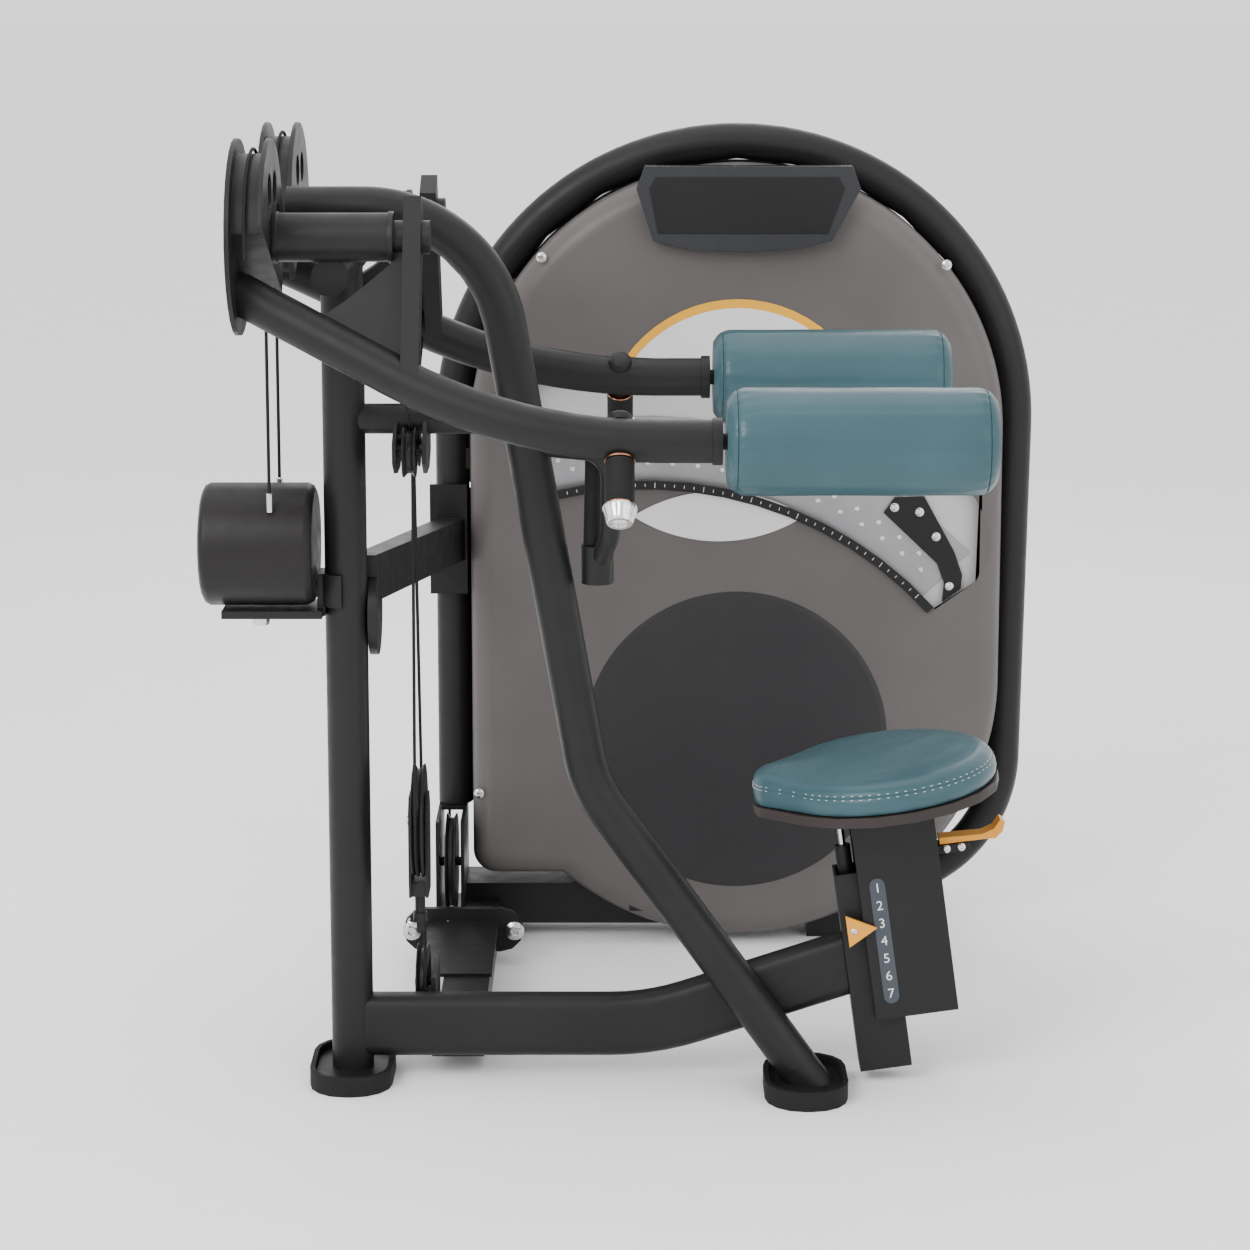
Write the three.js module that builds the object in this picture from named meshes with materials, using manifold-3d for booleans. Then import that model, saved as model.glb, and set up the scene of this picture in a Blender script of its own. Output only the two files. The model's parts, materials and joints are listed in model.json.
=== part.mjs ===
// Seated lateral raise machine, built in millimetres with +Z up.
//
// Design axes: the exerciser faces -X, the weight tower stands on the +Y side, the front post lies
// in the plane Y = 0, and the floor is Z = 0. "left" is -Y and "right" is +Y. The machine is
// shifted at the end so that its origin is the middle of its footprint.
import * as THREE from 'three';
import { mergeVertices } from 'three/addons/utils/BufferGeometryUtils.js';
import Module from 'manifold-3d';

const wasm = await Module();
wasm.setup();

// ---------------------------------------------------------------- driving dimensions
const FOOTPRINT_CENTRE = { x: 44, y: 221 };
const GAP = 0.3;                       // clearance left between touching pieces
const ROUND = 12;                      // facets round a main tube

const POST = { x: -416, r: 31.75, wall: 3 };
const BEAM = { height: 97, width: 50, corner: 20, wall: 3, z: 85, bendX: 46, endX: 372, endZ: 192.6 };
const ARCH = { r: 31.75, wall: 3, topZ: 1345, startX: -495, elbowX: -204.4, bendX: -49.5, bendZ: 466.6 };
const FOOT = { length: 127, height: 30, floor: 10, wall: 8, plate: 8 };
const FRONT_FOOT = { x: -416, y: 0, width: 190 };
const REAR_FOOT = { x: 280, y: -65, width: 180 };

const PIVOT = { y: 196, z: 1320, lean: THREE.MathUtils.degToRad(25.5) };
const HOUSING = { r: 35, bore: 17, x0: -494.5, x1: -329 };
const CROSSBAR = { r: 28, z: 1262 };
const TIE = { r: 23, z: 1030 };

const ARM = { r: 30, wall: 3, startX: -541, startR: 84, elbowX: -147, reach: 302, endX: 132, bend: 773 };
const CAM = { flangeR: 140, drumR: 118.5, x0: -548, x1: -495, flange: 7, cutR: 36 };
const SHAFT_R = 15;
const ARM_BAR = { x0: -309, x1: -284, top: -52, halfWidth: 28, web: 8 };
const PAD = { r: 76, x0: 147, x1: 520, bore: 12.6 };
const HANDLE = { x: -3, lean: THREE.MathUtils.degToRad(11.5), gripR: 21, from: 32, to: 100, end: 128 };

const CABLE_R = 2.5;
const BALANCE = { x: -521.5, wrap: 125, endZ: 903 };
const GUIDE = { x: -315, y: 48, z: 987, r: 38, groove: 32, width: 20 };
const FLOAT = { x: -312, y: 33, z: 400, r: 88, groove: 80, width: 18 };
const BASE_WHEEL = { x: -312, y: 89, z: 122, r: 60, groove: 52, width: 18 };
const LOW_WHEEL = { x: -297, y: 659, z: 147, r: 85, groove: 77, width: 18 };
const TOP_WHEEL = { x: -255, y: 740, z: 850, r: 45, groove: 38, width: 14 };
const WRAP = { guide: 35, float: 84, base: 56, low: 81, top: 42 };
const ANCHOR = { x: -296, r: 204.5, inset: 37 };

const DRUM = { x0: -629, x1: -460, r: 93, z: 840 };
const TOWER = { y: 740, r: 30, wall: 3, legX: -293, legZ: 235, rightX: 687, topZ: 1397 };
const SHROUD = {
  x: 196, r: 456, headZ: 907, lowZ: 469, cornerZ: 125, front: 636, back: 844, skin: 3, depth: 72, edge: 40,
};
const SWING = { x: 38.8, z: 160, sillR: 667, windowR: 666, windowTop: 850 };
const PACK = { firstY: 658, pitch: 15, thick: 14, count: 4, r: 520, from: 14, to: 72, hub: 46, bore: 20.4 };
const SWING_ARM = { y0: 722, y1: 734, anchorAngle: 62, anchorR: 400 };

const SEAT = { x: 407, z: 22.6, lean: THREE.MathUtils.degToRad(-8) };
const MAST = { u: 40, halfY: 30, top: 316, wall: 4 };
const CARRIAGE = { u0: -6, u1: 121, outerY: 44, innerY: 33, bottom: 84, top: 423 };
const PAN = { noseU: -86, noseR: 62, rearU: 57, rearR: 172, bottom: 423.3, top: 438.7 };
const CUSHION = { noseR: 58, rearR: 168, bottom: 439, top: 482 };
const STRUT = { u: -21, r: 12, bore: 6, rodR: 5.3, top: 355 };

// ---------------------------------------------------------------- materials
const finish = (color, roughness, metalness) =>
  new THREE.MeshStandardMaterial({ color, roughness, metalness });
const FINISH = {
  frame: () => finish(0x343434, 0.55, 0.3),
  shroud: () => finish(0x857d7b, 0.4, 0.0),
  vinyl: () => finish(0x486e7d, 0.5, 0.0),
  pan: () => finish(0x463c3c, 0.6, 0.0),
  rubber: () => finish(0x1b1b1b, 0.9, 0.0),
  nylon: () => finish(0x222222, 0.6, 0.0),
  steel: () => finish(0xb8b8b8, 0.35, 1.0),
  yellow: () => finish(0xf6b23c, 0.5, 0.0),
  housing: () => finish(0x35363a, 0.3, 0.0),
};

// ---------------------------------------------------------------- solids from three.js geometry
function toSolid(geometry, matrix = null) {
  const bare = geometry.clone();
  bare.deleteAttribute('normal');
  bare.deleteAttribute('uv');
  if (matrix) bare.applyMatrix4(matrix);
  const merged = mergeVertices(bare, 1e-4);
  return new wasm.Manifold(new wasm.Mesh({
    numProp: 3,
    vertProperties: new Float32Array(merged.getAttribute('position').array),
    triVerts: new Uint32Array(merged.getIndex().array),
  }));
}

function toMesh(name, solid, material) {
  const data = solid.getMesh();
  const geometry = new THREE.BufferGeometry();
  geometry.setAttribute('position', new THREE.BufferAttribute(data.vertProperties, 3));
  geometry.setIndex(new THREE.BufferAttribute(data.triVerts, 1));
  geometry.computeVertexNormals();
  const mesh = new THREE.Mesh(geometry, material);
  mesh.name = name;
  return mesh;
}

const join = (...solids) => solids.reduce((all, solid) => all.add(solid));
const cut = (solid, ...tools) => tools.reduce((rest, tool) => rest.subtract(tool), solid);

// a box between two corners
function block(x0, x1, y0, y1, z0, z1) {
  const geometry = new THREE.BoxGeometry(x1 - x0, y1 - y0, z1 - z0);
  const place = new THREE.Matrix4().makeTranslation((x0 + x1) / 2, (y0 + y1) / 2, (z0 + z1) / 2);
  return toSolid(geometry, place);
}

// a solid turned about an axis: profile points are [distance along the axis, radius]
function turned(axis, centre, profile, facets = ROUND) {
  const points = profile.map(([along, radius]) => new THREE.Vector2(radius, along));
  const geometry = new THREE.LatheGeometry(points, facets);
  const place = new THREE.Matrix4();
  if (axis === 'x') place.makeRotationZ(-Math.PI / 2);
  if (axis === 'z') place.makeRotationX(Math.PI / 2);
  place.setPosition(...centre);
  const solid = toSolid(geometry, place);
  return solid.volume() < 0 ? toSolid(flipped(geometry), place) : solid;
}

function flipped(geometry) {
  const copy = geometry.clone();
  const index = Array.from(copy.getIndex().array);
  for (let i = 0; i < index.length; i += 3) [index[i], index[i + 1]] = [index[i + 1], index[i]];
  copy.setIndex(index);
  return copy;
}

// rod or ring along an axis from a to b, with an optional bore
function rod(axis, centre, a, b, radius, bore = 0, facets = ROUND) {
  const profile = bore > 0
    ? [[a, bore], [a, radius], [b, radius], [b, bore], [a, bore]]
    : [[a, 0], [a, radius], [b, radius], [b, 0]];
  return turned(axis, centre, profile, facets);
}

// ---------------------------------------------------------------- paths and sweeps
// A curve whose stations are given, so that straight runs need no extra sections.
class StationCurve extends THREE.Curve {
  constructor(stations) {
    super();
    this.stations = stations;
  }
  index(u) {
    return Math.round(u * (this.stations.length - 1));
  }
  getPoint(u, target = new THREE.Vector3()) {
    return target.copy(this.stations[this.index(u)]);
  }
  getPointAt(u, target) {
    return this.getPoint(u, target);
  }
  getTangentAt(u, target = new THREE.Vector3()) {
    const i = this.index(u);
    const last = this.stations.length - 1;
    const before = this.stations[Math.max(i - 1, 0)];
    const after = this.stations[Math.min(i + 1, last)];
    if (i === 0 || i === last) return target.subVectors(after, before).normalize();
    const here = this.stations[i];
    const back = new THREE.Vector3().subVectors(here, before).normalize();
    const ahead = new THREE.Vector3().subVectors(after, here).normalize();
    return target.addVectors(back, ahead).normalize();
  }
}

// Stations of a polyline whose inner corners are rounded with the given radii.
function roundedPath(corners, radii, stepDegrees = 15) {
  const points = corners.map((c) => new THREE.Vector3(...c));
  const stations = [points[0]];
  for (let i = 1; i < points.length - 1; i += 1) {
    const into = new THREE.Vector3().subVectors(points[i], points[i - 1]).normalize();
    const out = new THREE.Vector3().subVectors(points[i + 1], points[i]).normalize();
    const turn = into.angleTo(out);
    const reach = radii[i - 1] * Math.tan(turn / 2);
    const start = points[i].clone().addScaledVector(into, -reach);
    const inward = out.clone().addScaledVector(into, -Math.cos(turn)).normalize();
    const steps = Math.max(2, Math.ceil(THREE.MathUtils.radToDeg(turn) / stepDegrees));
    for (let k = 0; k <= steps; k += 1) {
      const angle = turn * k / steps;
      stations.push(start.clone()
        .addScaledVector(into, radii[i - 1] * Math.sin(angle))
        .addScaledVector(inward, radii[i - 1] * (1 - Math.cos(angle))));
    }
  }
  stations.push(points[points.length - 1]);
  return stations;
}

function circleShape(radius, facets, bore = 0) {
  const ring = (r) => Array.from({ length: facets }, (_, i) => {
    const angle = 2 * Math.PI * i / facets;
    return new THREE.Vector2(r * Math.cos(angle), r * Math.sin(angle));
  });
  const shape = new THREE.Shape(ring(radius));
  if (bore > 0) shape.holes.push(new THREE.Path(ring(bore).reverse()));
  return shape;
}

function sweep(shape, stations) {
  const extrudePath = new StationCurve(stations);
  return toSolid(new THREE.ExtrudeGeometry(shape, { steps: stations.length - 1, extrudePath }));
}

const pipe = (stations, radius, wall, facets = ROUND) =>
  sweep(circleShape(radius, facets, wall > 0 ? radius - wall : 0), stations);

function roundedRect(width, height, corner, steps = 4) {
  const points = [];
  const centres = [[1, 1], [-1, 1], [-1, -1], [1, -1]];
  centres.forEach(([sx, sy], quarter) => {
    for (let k = 0; k <= steps; k += 1) {
      const angle = Math.PI / 2 * (quarter + k / steps);
      points.push(new THREE.Vector2(
        sx * (width / 2 - corner) + corner * Math.cos(angle),
        sy * (height / 2 - corner) + corner * Math.sin(angle)));
    }
  });
  return points;
}

// An outline in a plane, thickened along the plane's normal from low to high.
// plane 'xz' gives the outline in X and Z and thickens along Y; 'xy' thickens along Z.
function plate(points, plane, low, high, holes = []) {
  const shape = new THREE.Shape(points);
  holes.forEach((hole) => shape.holes.push(new THREE.Path(hole)));
  const geometry = new THREE.ExtrudeGeometry(shape, { depth: high - low, bevelEnabled: false });
  const place = new THREE.Matrix4();
  if (plane === 'xz') place.makeRotationX(Math.PI / 2).setPosition(0, high, 0);
  if (plane === 'xy') place.setPosition(0, 0, low);
  if (plane === 'yz') {
    place.set(0, 0, 1, low, 1, 0, 0, 0, 0, 1, 0, 0, 0, 0, 0, 1);
  }
  return toSolid(geometry, place);
}

const dot = (x, y) => new THREE.Vector2(x, y);
const shifted = (points, x, y) => points.map((p) => dot(p.x + x, p.y + y));

// points of an arc, angles in degrees
function arc(cx, cy, radius, from, to, steps) {
  return Array.from({ length: steps + 1 }, (_, i) => {
    const angle = THREE.MathUtils.degToRad(from + (to - from) * i / steps);
    return dot(cx + radius * Math.cos(angle), cy + radius * Math.sin(angle));
  });
}

// Outline round two circles on one line: a teardrop, or an obround when the radii are equal.
function teardrop(ax, ar, bx, br, steps = 12) {
  const tilt = THREE.MathUtils.radToDeg(Math.acos((ar - br) / (bx - ax)));
  return [...arc(bx, 0, br, -tilt, tilt, steps), ...arc(ax, 0, ar, tilt, 360 - tilt, steps)];
}

// Stations of a line that runs over wheels in one plane parallel to YZ. Each stop is
// {y, z, r, turn, x}: turn is +1 for a left turn seen with Y right and Z up, and r is 0 at an end.
function lineOverWheels(stops, stepDegrees = 22) {
  const angles = [];
  for (let i = 0; i < stops.length - 1; i += 1) {
    const [a, b] = [stops[i], stops[i + 1]];
    const heading = Math.atan2(b.z - a.z, b.y - a.y);
    const span = Math.hypot(b.y - a.y, b.z - a.z);
    angles.push(heading - Math.asin((b.turn * b.r - a.turn * a.r) / span));
  }
  const at = (stop, angle) => new THREE.Vector3(
    stop.x,
    stop.y + stop.turn * stop.r * Math.sin(angle),
    stop.z - stop.turn * stop.r * Math.cos(angle));
  const stations = [at(stops[0], angles[0])];
  for (let i = 1; i < stops.length - 1; i += 1) {
    let swing = angles[i] - angles[i - 1];
    while (stops[i].turn * swing < 0) swing += stops[i].turn * 2 * Math.PI;
    const steps = Math.max(2, Math.ceil(Math.abs(swing) / THREE.MathUtils.degToRad(stepDegrees)));
    for (let k = 0; k <= steps; k += 1) {
      stations.push(at(stops[i], angles[i - 1] + swing * k / steps));
    }
  }
  stations.push(at(stops[stops.length - 1], angles[angles.length - 1]));
  return stations;
}

// a grooved wheel: flanges, a groove for the cable and a bore
function sheave(axis, wheel, bore) {
  const half = wheel.width / 2;
  return turned(axis, [wheel.x, wheel.y, wheel.z], [
    [-half, bore], [-half, wheel.r], [-half + 2, wheel.r], [-3, wheel.groove], [3, wheel.groove],
    [half - 2, wheel.r], [half, wheel.r], [half, bore], [-half, bore],
  ], 16);
}

// ---------------------------------------------------------------- frame
const archStations = roundedPath([
  [ARCH.startX, 0, ARCH.topZ], [ARCH.elbowX, 0, ARCH.topZ], [ARCH.bendX, 0, ARCH.bendZ],
  [REAR_FOOT.x + 18, REAR_FOOT.y - 3, 0],
], [210, 180]);
const archCutter = () => pipe(archStations, ARCH.r + GAP, 0);
const postCutter = () => rod('z', [POST.x, 0, 0], 0, CROSSBAR.z, POST.r + GAP, 0, 20);
const plateTop = FOOT.floor + GAP + FOOT.plate;

function footPlate(foot) {
  const shrink = 2 * (FOOT.wall + GAP);
  const outline = roundedRect(FOOT.length - shrink, foot.width - shrink, 50);
  return plate(shifted(outline, foot.x, foot.y), 'xy', FOOT.floor + GAP, plateTop);
}

function footPad(foot) {
  const outer = roundedRect(FOOT.length, foot.width, 58);
  const inner = roundedRect(FOOT.length - 2 * FOOT.wall, foot.width - 2 * FOOT.wall, 50);
  return cut(plate(shifted(outer, foot.x, foot.y), 'xy', 0, FOOT.height),
    plate(shifted(inner, foot.x, foot.y), 'xy', FOOT.floor, FOOT.height + 1));
}

function frontPost() {
  const tube = rod('z', [POST.x, 0, 0], plateTop - 4, CROSSBAR.z, POST.r, POST.r - POST.wall, 20);
  const saddle = rod('y', [POST.x, 0, CROSSBAR.z], -60, 60, CROSSBAR.r + GAP);
  return join(cut(tube, saddle), footPlate(FRONT_FOOT));
}

function archTube() {
  const below = block(REAR_FOOT.x - 200, REAR_FOOT.x + 200, -300, 200, -100, plateTop - 4);
  return join(cut(pipe(archStations, ARCH.r, ARCH.wall), below), footPlate(REAR_FOOT));
}

function baseBeam() {
  const stations = roundedPath(
    [[POST.x, 0, BEAM.z], [BEAM.bendX, 0, BEAM.z], [BEAM.endX, 0, BEAM.endZ]], [400], 4);
  const shape = new THREE.Shape(roundedRect(BEAM.height, BEAM.width, BEAM.corner));
  const bore = roundedRect(BEAM.height - 2 * BEAM.wall, BEAM.width - 2 * BEAM.wall,
    BEAM.corner - BEAM.wall);
  shape.holes.push(new THREE.Path(bore.reverse()));
  return cut(sweep(shape, stations), postCutter(), archCutter(), mastCutter());
}

function pivotFrame() {
  const bar = rod('y', [POST.x, 0, CROSSBAR.z], -PIVOT.y, PIVOT.y, CROSSBAR.r);
  const stub = rod('z', [POST.x, 0, 0], CROSSBAR.z, ARCH.topZ, POST.r, 0, 20);
  const sides = [-1, 1].map((side) => side * PIVOT.y);
  const housings = sides.map((y) =>
    rod('x', [0, y, PIVOT.z], HOUSING.x0, HOUSING.x1, HOUSING.r, 0, 24));
  const bores = sides.map((y) =>
    rod('x', [0, y, PIVOT.z], HOUSING.x0 - 5, HOUSING.x1 + 5, HOUSING.bore, 0, 24));
  return cut(join(bar, stub, ...housings), ...bores, archCutter());
}

function pulleyHanger() {
  const tie = rod('x', [0, 0, TIE.z], POST.x, -144, TIE.r);
  const outline = [dot(-66, 972), dot(-30, 952), dot(30, 952), dot(66, 972), dot(66, 1002),
    dot(24, TIE.z), dot(-24, TIE.z), dot(-66, 1002)];
  const cheeks = [GUIDE.x - 25, GUIDE.x + 19].map((x0) => plate(outline, 'yz', x0, x0 + 6));
  const pins = [-1, 1].map((side) =>
    rod('x', [0, side * GUIDE.y, GUIDE.z], GUIDE.x - 22, GUIDE.x + 22, 5, 0, 12));
  return cut(join(tie, ...cheeks, ...pins), postCutter(), archCutter());
}

function upperLink() {
  const [near, far] = [{ y: 20, z: 782 }, { y: 700, z: 712 }];
  const fall = (far.z - near.z) / (far.y - near.y);
  const slope = new THREE.Matrix4().set(
    1, 0, 0, 0, 0, 1, 0, 0, 0, fall, 1, near.z - fall * near.y, 0, 0, 0, 1);
  const plan = [dot(-410, near.y), dot(-373, near.y), dot(-272, far.y), dot(-322, far.y)];
  const geometry = new THREE.ExtrudeGeometry(new THREE.Shape(plan),
    { depth: 72, bevelEnabled: false });
  const beam = toSolid(geometry, slope.multiply(new THREE.Matrix4().makeTranslation(0, 0, -36)));
  const disc = rod('x', [0, 45, 725], -383.5, -370, 65, 0, 24);
  return cut(join(beam, disc, block(-332, -267, 698, 708, 616, 808)), postCutter());
}

function lowerLink() {
  const flange = plate(shifted(teardrop(-65, 38, 65, 38, 6), -272, 60), 'xz', 540, 552);
  const hole = rod('y', [-300, 0, 66], 530, 560, 12, 0, 12);
  const tube = cut(block(-290, -215, BEAM.width / 2 + GAP, 541, 22, 72),
    block(-286, -219, BEAM.width / 2 - 5, 530, 26, 68));
  const cover = block(-332, -212, 260, 541, 71, 77);
  const ear = block(-296, -289, 26, 150, 22, 150);
  const pin = rod('x', [0, BASE_WHEEL.y, BASE_WHEEL.z], -325, -292, 6, 0, 12);
  return cut(join(tube, cover, ear, pin, flange), hole);
}

// The grab bar that hangs from the arch, in front of the exerciser.
function stabiliserBar() {
  const stations = roundedPath([[-142, 0, 990], [-17, -45, 985], [-17, -45, 862], [-37, 0, 805]],
    [40, 40]);
  const hub = rod('z', [-37, 0, 0], 780, 838, 24.4, 0, 20);
  return cut(join(pipe(stations, 15, 0, 14), hub), archCutter());
}

// ---------------------------------------------------------------- tower
const hoopStations = roundedPath([
  [TOWER.legX, TOWER.y, TOWER.legZ], [TOWER.legX, TOWER.y, TOWER.topZ],
  [TOWER.rightX, TOWER.y, TOWER.topZ], [667, TOWER.y, 167], [428, TOWER.y, 55],
], [488, 482, 240]);

function towerHoop() {
  const slot = block(-305, -250, 731, 749, 796, 905);
  const cheeks = [722, 753].map((y0) => block(-275, -235, y0, y0 + 5, 832, 868));
  const pin = rod('y', [TOP_WHEEL.x, 0, TOP_WHEEL.z], 724, 756, 6, 0, 12);
  return join(cut(pipe(hoopStations, TOWER.r, TOWER.wall), slot), ...cheeks, pin);
}

function towerBase() {
  const [z0, z1] = [25, 98];
  const tube = cut(block(-275, 425, 690, 790, z0, z1), block(-280, 430, 694, 786, z0 + 4, z1 - 4));
  const feet = [[-322, -180], [326, 425]].map(([a, b]) => block(a, b, 690, 860, 0, z0 + 2));
  const extension = block(-275, -215, 552.3, 691, 25, 72);
  const sides = [-322, -279].map((x0) => block(x0, x0 + 6, 600, 775, 26, 234));
  const cap = block(-322, -273, 700, 775, 228, 234);
  const pin = rod('x', [0, LOW_WHEEL.y, LOW_WHEEL.z], -322, -273, 8, 0, 12);
  const stands = [642, 798].map((y0) =>
    block(SWING.x - 26, SWING.x + 26, y0, y0 + 8, 70, SWING.z + 30));
  const brackets = [[642, 692], [788, 806]].map(([a, b]) =>
    block(SWING.x - 26, SWING.x + 26, a, b, 62, 72));
  const rest = block(330, 380, 672, 720, 90, 214);
  const shaftBore = rod('y', [SWING.x, 0, SWING.z], 600, 900, 20 + GAP, 0, 20);
  const cableHole = rod('z', [LOW_WHEEL.x, TOWER.y, 0], 200, 260, 8, 0, 12);
  return cut(join(tube, ...feet, extension, ...sides, cap, pin, ...stands, ...brackets, rest),
    shaftBore, cableHole, pipe(hoopStations, TOWER.r + GAP, 0));
}

// The shroud outline: a round head and belly, and a square corner at the low front.
function shroudOutline(inset) {
  const r = SHROUD.r - inset;
  const bottom = SHROUD.cornerZ + inset;
  const meet = THREE.MathUtils.radToDeg(Math.asin((SHROUD.lowZ - bottom) / r));
  const corner = 40;
  return [...arc(SHROUD.x, SHROUD.headZ, r, 0, 180, 18),
    ...arc(SHROUD.x - r + corner, bottom + corner, corner, 180, 270, 3),
    ...arc(SHROUD.x, SHROUD.lowZ, r, 180 + meet, 360, 14)];
}

// The window: its sill is an arc about the swing pivot.
function windowOutline() {
  return [...arc(SWING.x, SWING.z, SWING.windowR, 106, 41.5, 12),
    dot(606, 650), dot(628, 719), dot(621, 762),
    ...arc(SWING.x, SWING.z, SWING.windowTop, 49, 103, 12)];
}

// The solid inside one shroud: its rounded edge in steps, then the straight wall to the rim.
function shroudBody(isFront, inset) {
  const inward = isFront ? 1 : -1;
  const face = (isFront ? SHROUD.front : SHROUD.back) + inward * inset;
  const rim = (isFront ? SHROUD.front : SHROUD.back) + inward * (SHROUD.depth + (inset > 0 ? 1 : 0));
  const slab = (near, far, shrink) =>
    plate(shroudOutline(shrink + inset), 'xz', Math.min(near, far), Math.max(near, far));
  const body = slab(face + inward * SHROUD.edge * 0.6, rim, 0);
  const steps = [0, 1].map((k) => {
    const lift = 1 - (k + 1) / 3;
    return slab(face + inward * SHROUD.edge * k / 3, face + inward * SHROUD.edge * 0.7,
      SHROUD.edge * (1 - Math.sqrt(1 - lift * lift)));
  });
  return join(body, ...steps);
}

function shroud(isFront) {
  const tools = [shroudBody(isFront, SHROUD.skin), block(-330, 480, 640, 808, -20, 99.5),
    block(-330, 480, 808, 862, -20, 28)];
  if (isFront) {
    tools.push(plate(windowOutline(), 'xz', SHROUD.front - 1, SHROUD.front + SHROUD.skin + 1));
  }
  return cut(shroudBody(isFront, 0), ...tools);
}

const arcBand = (inner, outer, from, to, y0, y1) => plate([
  ...arc(SWING.x, SWING.z, inner, from, to, 12), ...arc(SWING.x, SWING.z, outer, to, from, 12),
], 'xz', y0, y1);

function nameHousing() {
  const outline = [dot(38, 1363), dot(24, 1325), dot(52, 1238), dot(110, 1224), dot(202, 1219),
    dot(295, 1224), dot(352, 1238), dot(399, 1325), dot(385, 1363)];
  return plate(outline, 'xz', 606, SHROUD.front - GAP);
}

function windowBracket() {
  return plate([dot(467, 795), dot(517, 797), dot(570, 700), dot(584, 660), dot(582, 636),
    dot(550, 612), dot(553, 645), dot(541, 679), dot(448, 768)], 'xz', 646, 651);
}

// ---------------------------------------------------------------- swinging weight pack
function weightSector(y0, y1, radius) {
  const outline = [...arc(SWING.x, SWING.z, radius, PACK.from, PACK.to, 8),
    ...arc(SWING.x, SWING.z, PACK.hub, PACK.to + 50, PACK.from + 310, 8)];
  return cut(plate(outline, 'xz', y0, y1),
    rod('y', [SWING.x, 0, SWING.z], y0 - 1, y1 + 1, PACK.bore, 0, 20));
}

function swingPoint(radius, degrees) {
  const angle = THREE.MathUtils.degToRad(degrees);
  return { x: SWING.x + radius * Math.cos(angle), z: SWING.z + radius * Math.sin(angle) };
}

// The cursor that is slid round the window to choose the load.
function loadSelector() {
  const lug = plate([dot(-17, 676), dot(17, 676), dot(18, 735), dot(-18, 735)], 'xz', 620, 627);
  const knob = turned('y', [0, 0, 700], [[592, 0], [592, 15], [600, 19], [613, 15], [621, 10],
    [621, 0]], 14);
  const turn = new THREE.Matrix4().makeRotationY(THREE.MathUtils.degToRad(14));
  return join(lug, knob).transform(turn.setPosition(SWING.x, 0, SWING.z).elements);
}

// ---------------------------------------------------------------- counterweight
function counterweightDrum() {
  const { x0, x1, r } = DRUM;
  return turned('x', [0, 0, DRUM.z], [[x0, 0], [x0, r - 12], [x0 + 4, r - 4], [x0 + 12, r],
    [x1 - 12, r], [x1 - 4, r - 4], [x1, r - 12], [x1, 0]], 20);
}

function counterweightCarriage() {
  const saddle = block(-600, -449, -45, 45, 733, 745);
  const upright = block(-458, -446, -24, 24, 733, 798);
  const shoe = cut(rod('z', [POST.x, 0, 0], 748, 798, 41, 0, 24),
    block(POST.x - 4, POST.x + 60, -60, 60, 740, 810));
  return cut(join(saddle, upright, shoe), rod('z', [POST.x, 0, 0], 700, 850, 32.6, 0, 24));
}

// ---------------------------------------------------------------- cables
const stop = (x, y, z, r = 0, turn = 1) => ({ x, y, z, r, turn });
const overWheel = (wheel, wrap, turn) => stop(wheel.x, wheel.y, wheel.z, wrap, turn);

function balanceCable(side) {
  const { x, wrap, endZ } = BALANCE;
  return pipe(lineOverWheels([
    stop(x, side * (PIVOT.y + wrap), PIVOT.z - 20), stop(x, side * PIVOT.y, PIVOT.z, wrap, side),
    stop(x, side * (PIVOT.y - wrap), endZ)]), CABLE_R, 0, 8);
}

function equaliserCable() {
  const [s, c] = [Math.sin(PIVOT.lean), Math.cos(PIVOT.lean)];
  const out = PIVOT.y + ANCHOR.r * s - ANCHOR.inset * c;
  const z = PIVOT.z - ANCHOR.r * c - ANCHOR.inset * s;
  const guide = (side) => stop(GUIDE.x, side * GUIDE.y, GUIDE.z, WRAP.guide, -1);
  return pipe(lineOverWheels([stop(ANCHOR.x, -out, z), guide(-1),
    overWheel(FLOAT, WRAP.float, 1), guide(1), stop(ANCHOR.x, out, z)]), CABLE_R, 0, 8);
}

// From the floating block under two wheels, up inside the tower leg and across to the pack.
function liftCable() {
  const low = lineOverWheels([stop(FLOAT.x, FLOAT.y, 221.5),
    overWheel(BASE_WHEEL, WRAP.base, 1), overWheel(LOW_WHEEL, WRAP.low, 1),
    stop(LOW_WHEEL.x, TOWER.y, 600)]);
  const anchor = swingPoint(SWING_ARM.anchorR, SWING_ARM.anchorAngle);
  const high = lineOverWheels([{ x: 0, y: TOWER.legX - 4, z: 700, r: 0, turn: 1 },
    { x: 0, y: TOP_WHEEL.x, z: TOP_WHEEL.z, r: WRAP.top, turn: -1 },
    { x: 0, y: anchor.x, z: anchor.z, r: 0, turn: 1 }]);
  return pipe([...low, ...high.map((p) => new THREE.Vector3(p.y, TOWER.y, p.z))], CABLE_R, 0, 8);
}

function floatingBlock() {
  const outline = [dot(-30, 285), dot(30, 285), dot(36, 320), dot(36, 418), dot(20, 442),
    dot(-20, 442), dot(-36, 418), dot(-36, 320)].map((p) => dot(p.x + FLOAT.y, p.y));
  const cheeks = [-15, 11].map((dx) => plate(outline, 'yz', FLOAT.x + dx, FLOAT.x + dx + 4));
  const bridge = block(FLOAT.x - 14, FLOAT.x + 14, FLOAT.y - 28, FLOAT.y + 28, 286, 306);
  const pin = rod('x', [0, FLOAT.y, FLOAT.z], FLOAT.x - 14, FLOAT.x + 14, 8, 0, 12);
  const stud = turned('z', [FLOAT.x, FLOAT.y, 0], [[222, 0], [222, 6], [240, 6], [240, 11],
    [254, 11], [254, 8], [290, 8], [290, 0]], 12);
  return join(...cheeks, bridge, pin, stud);
}

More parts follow.
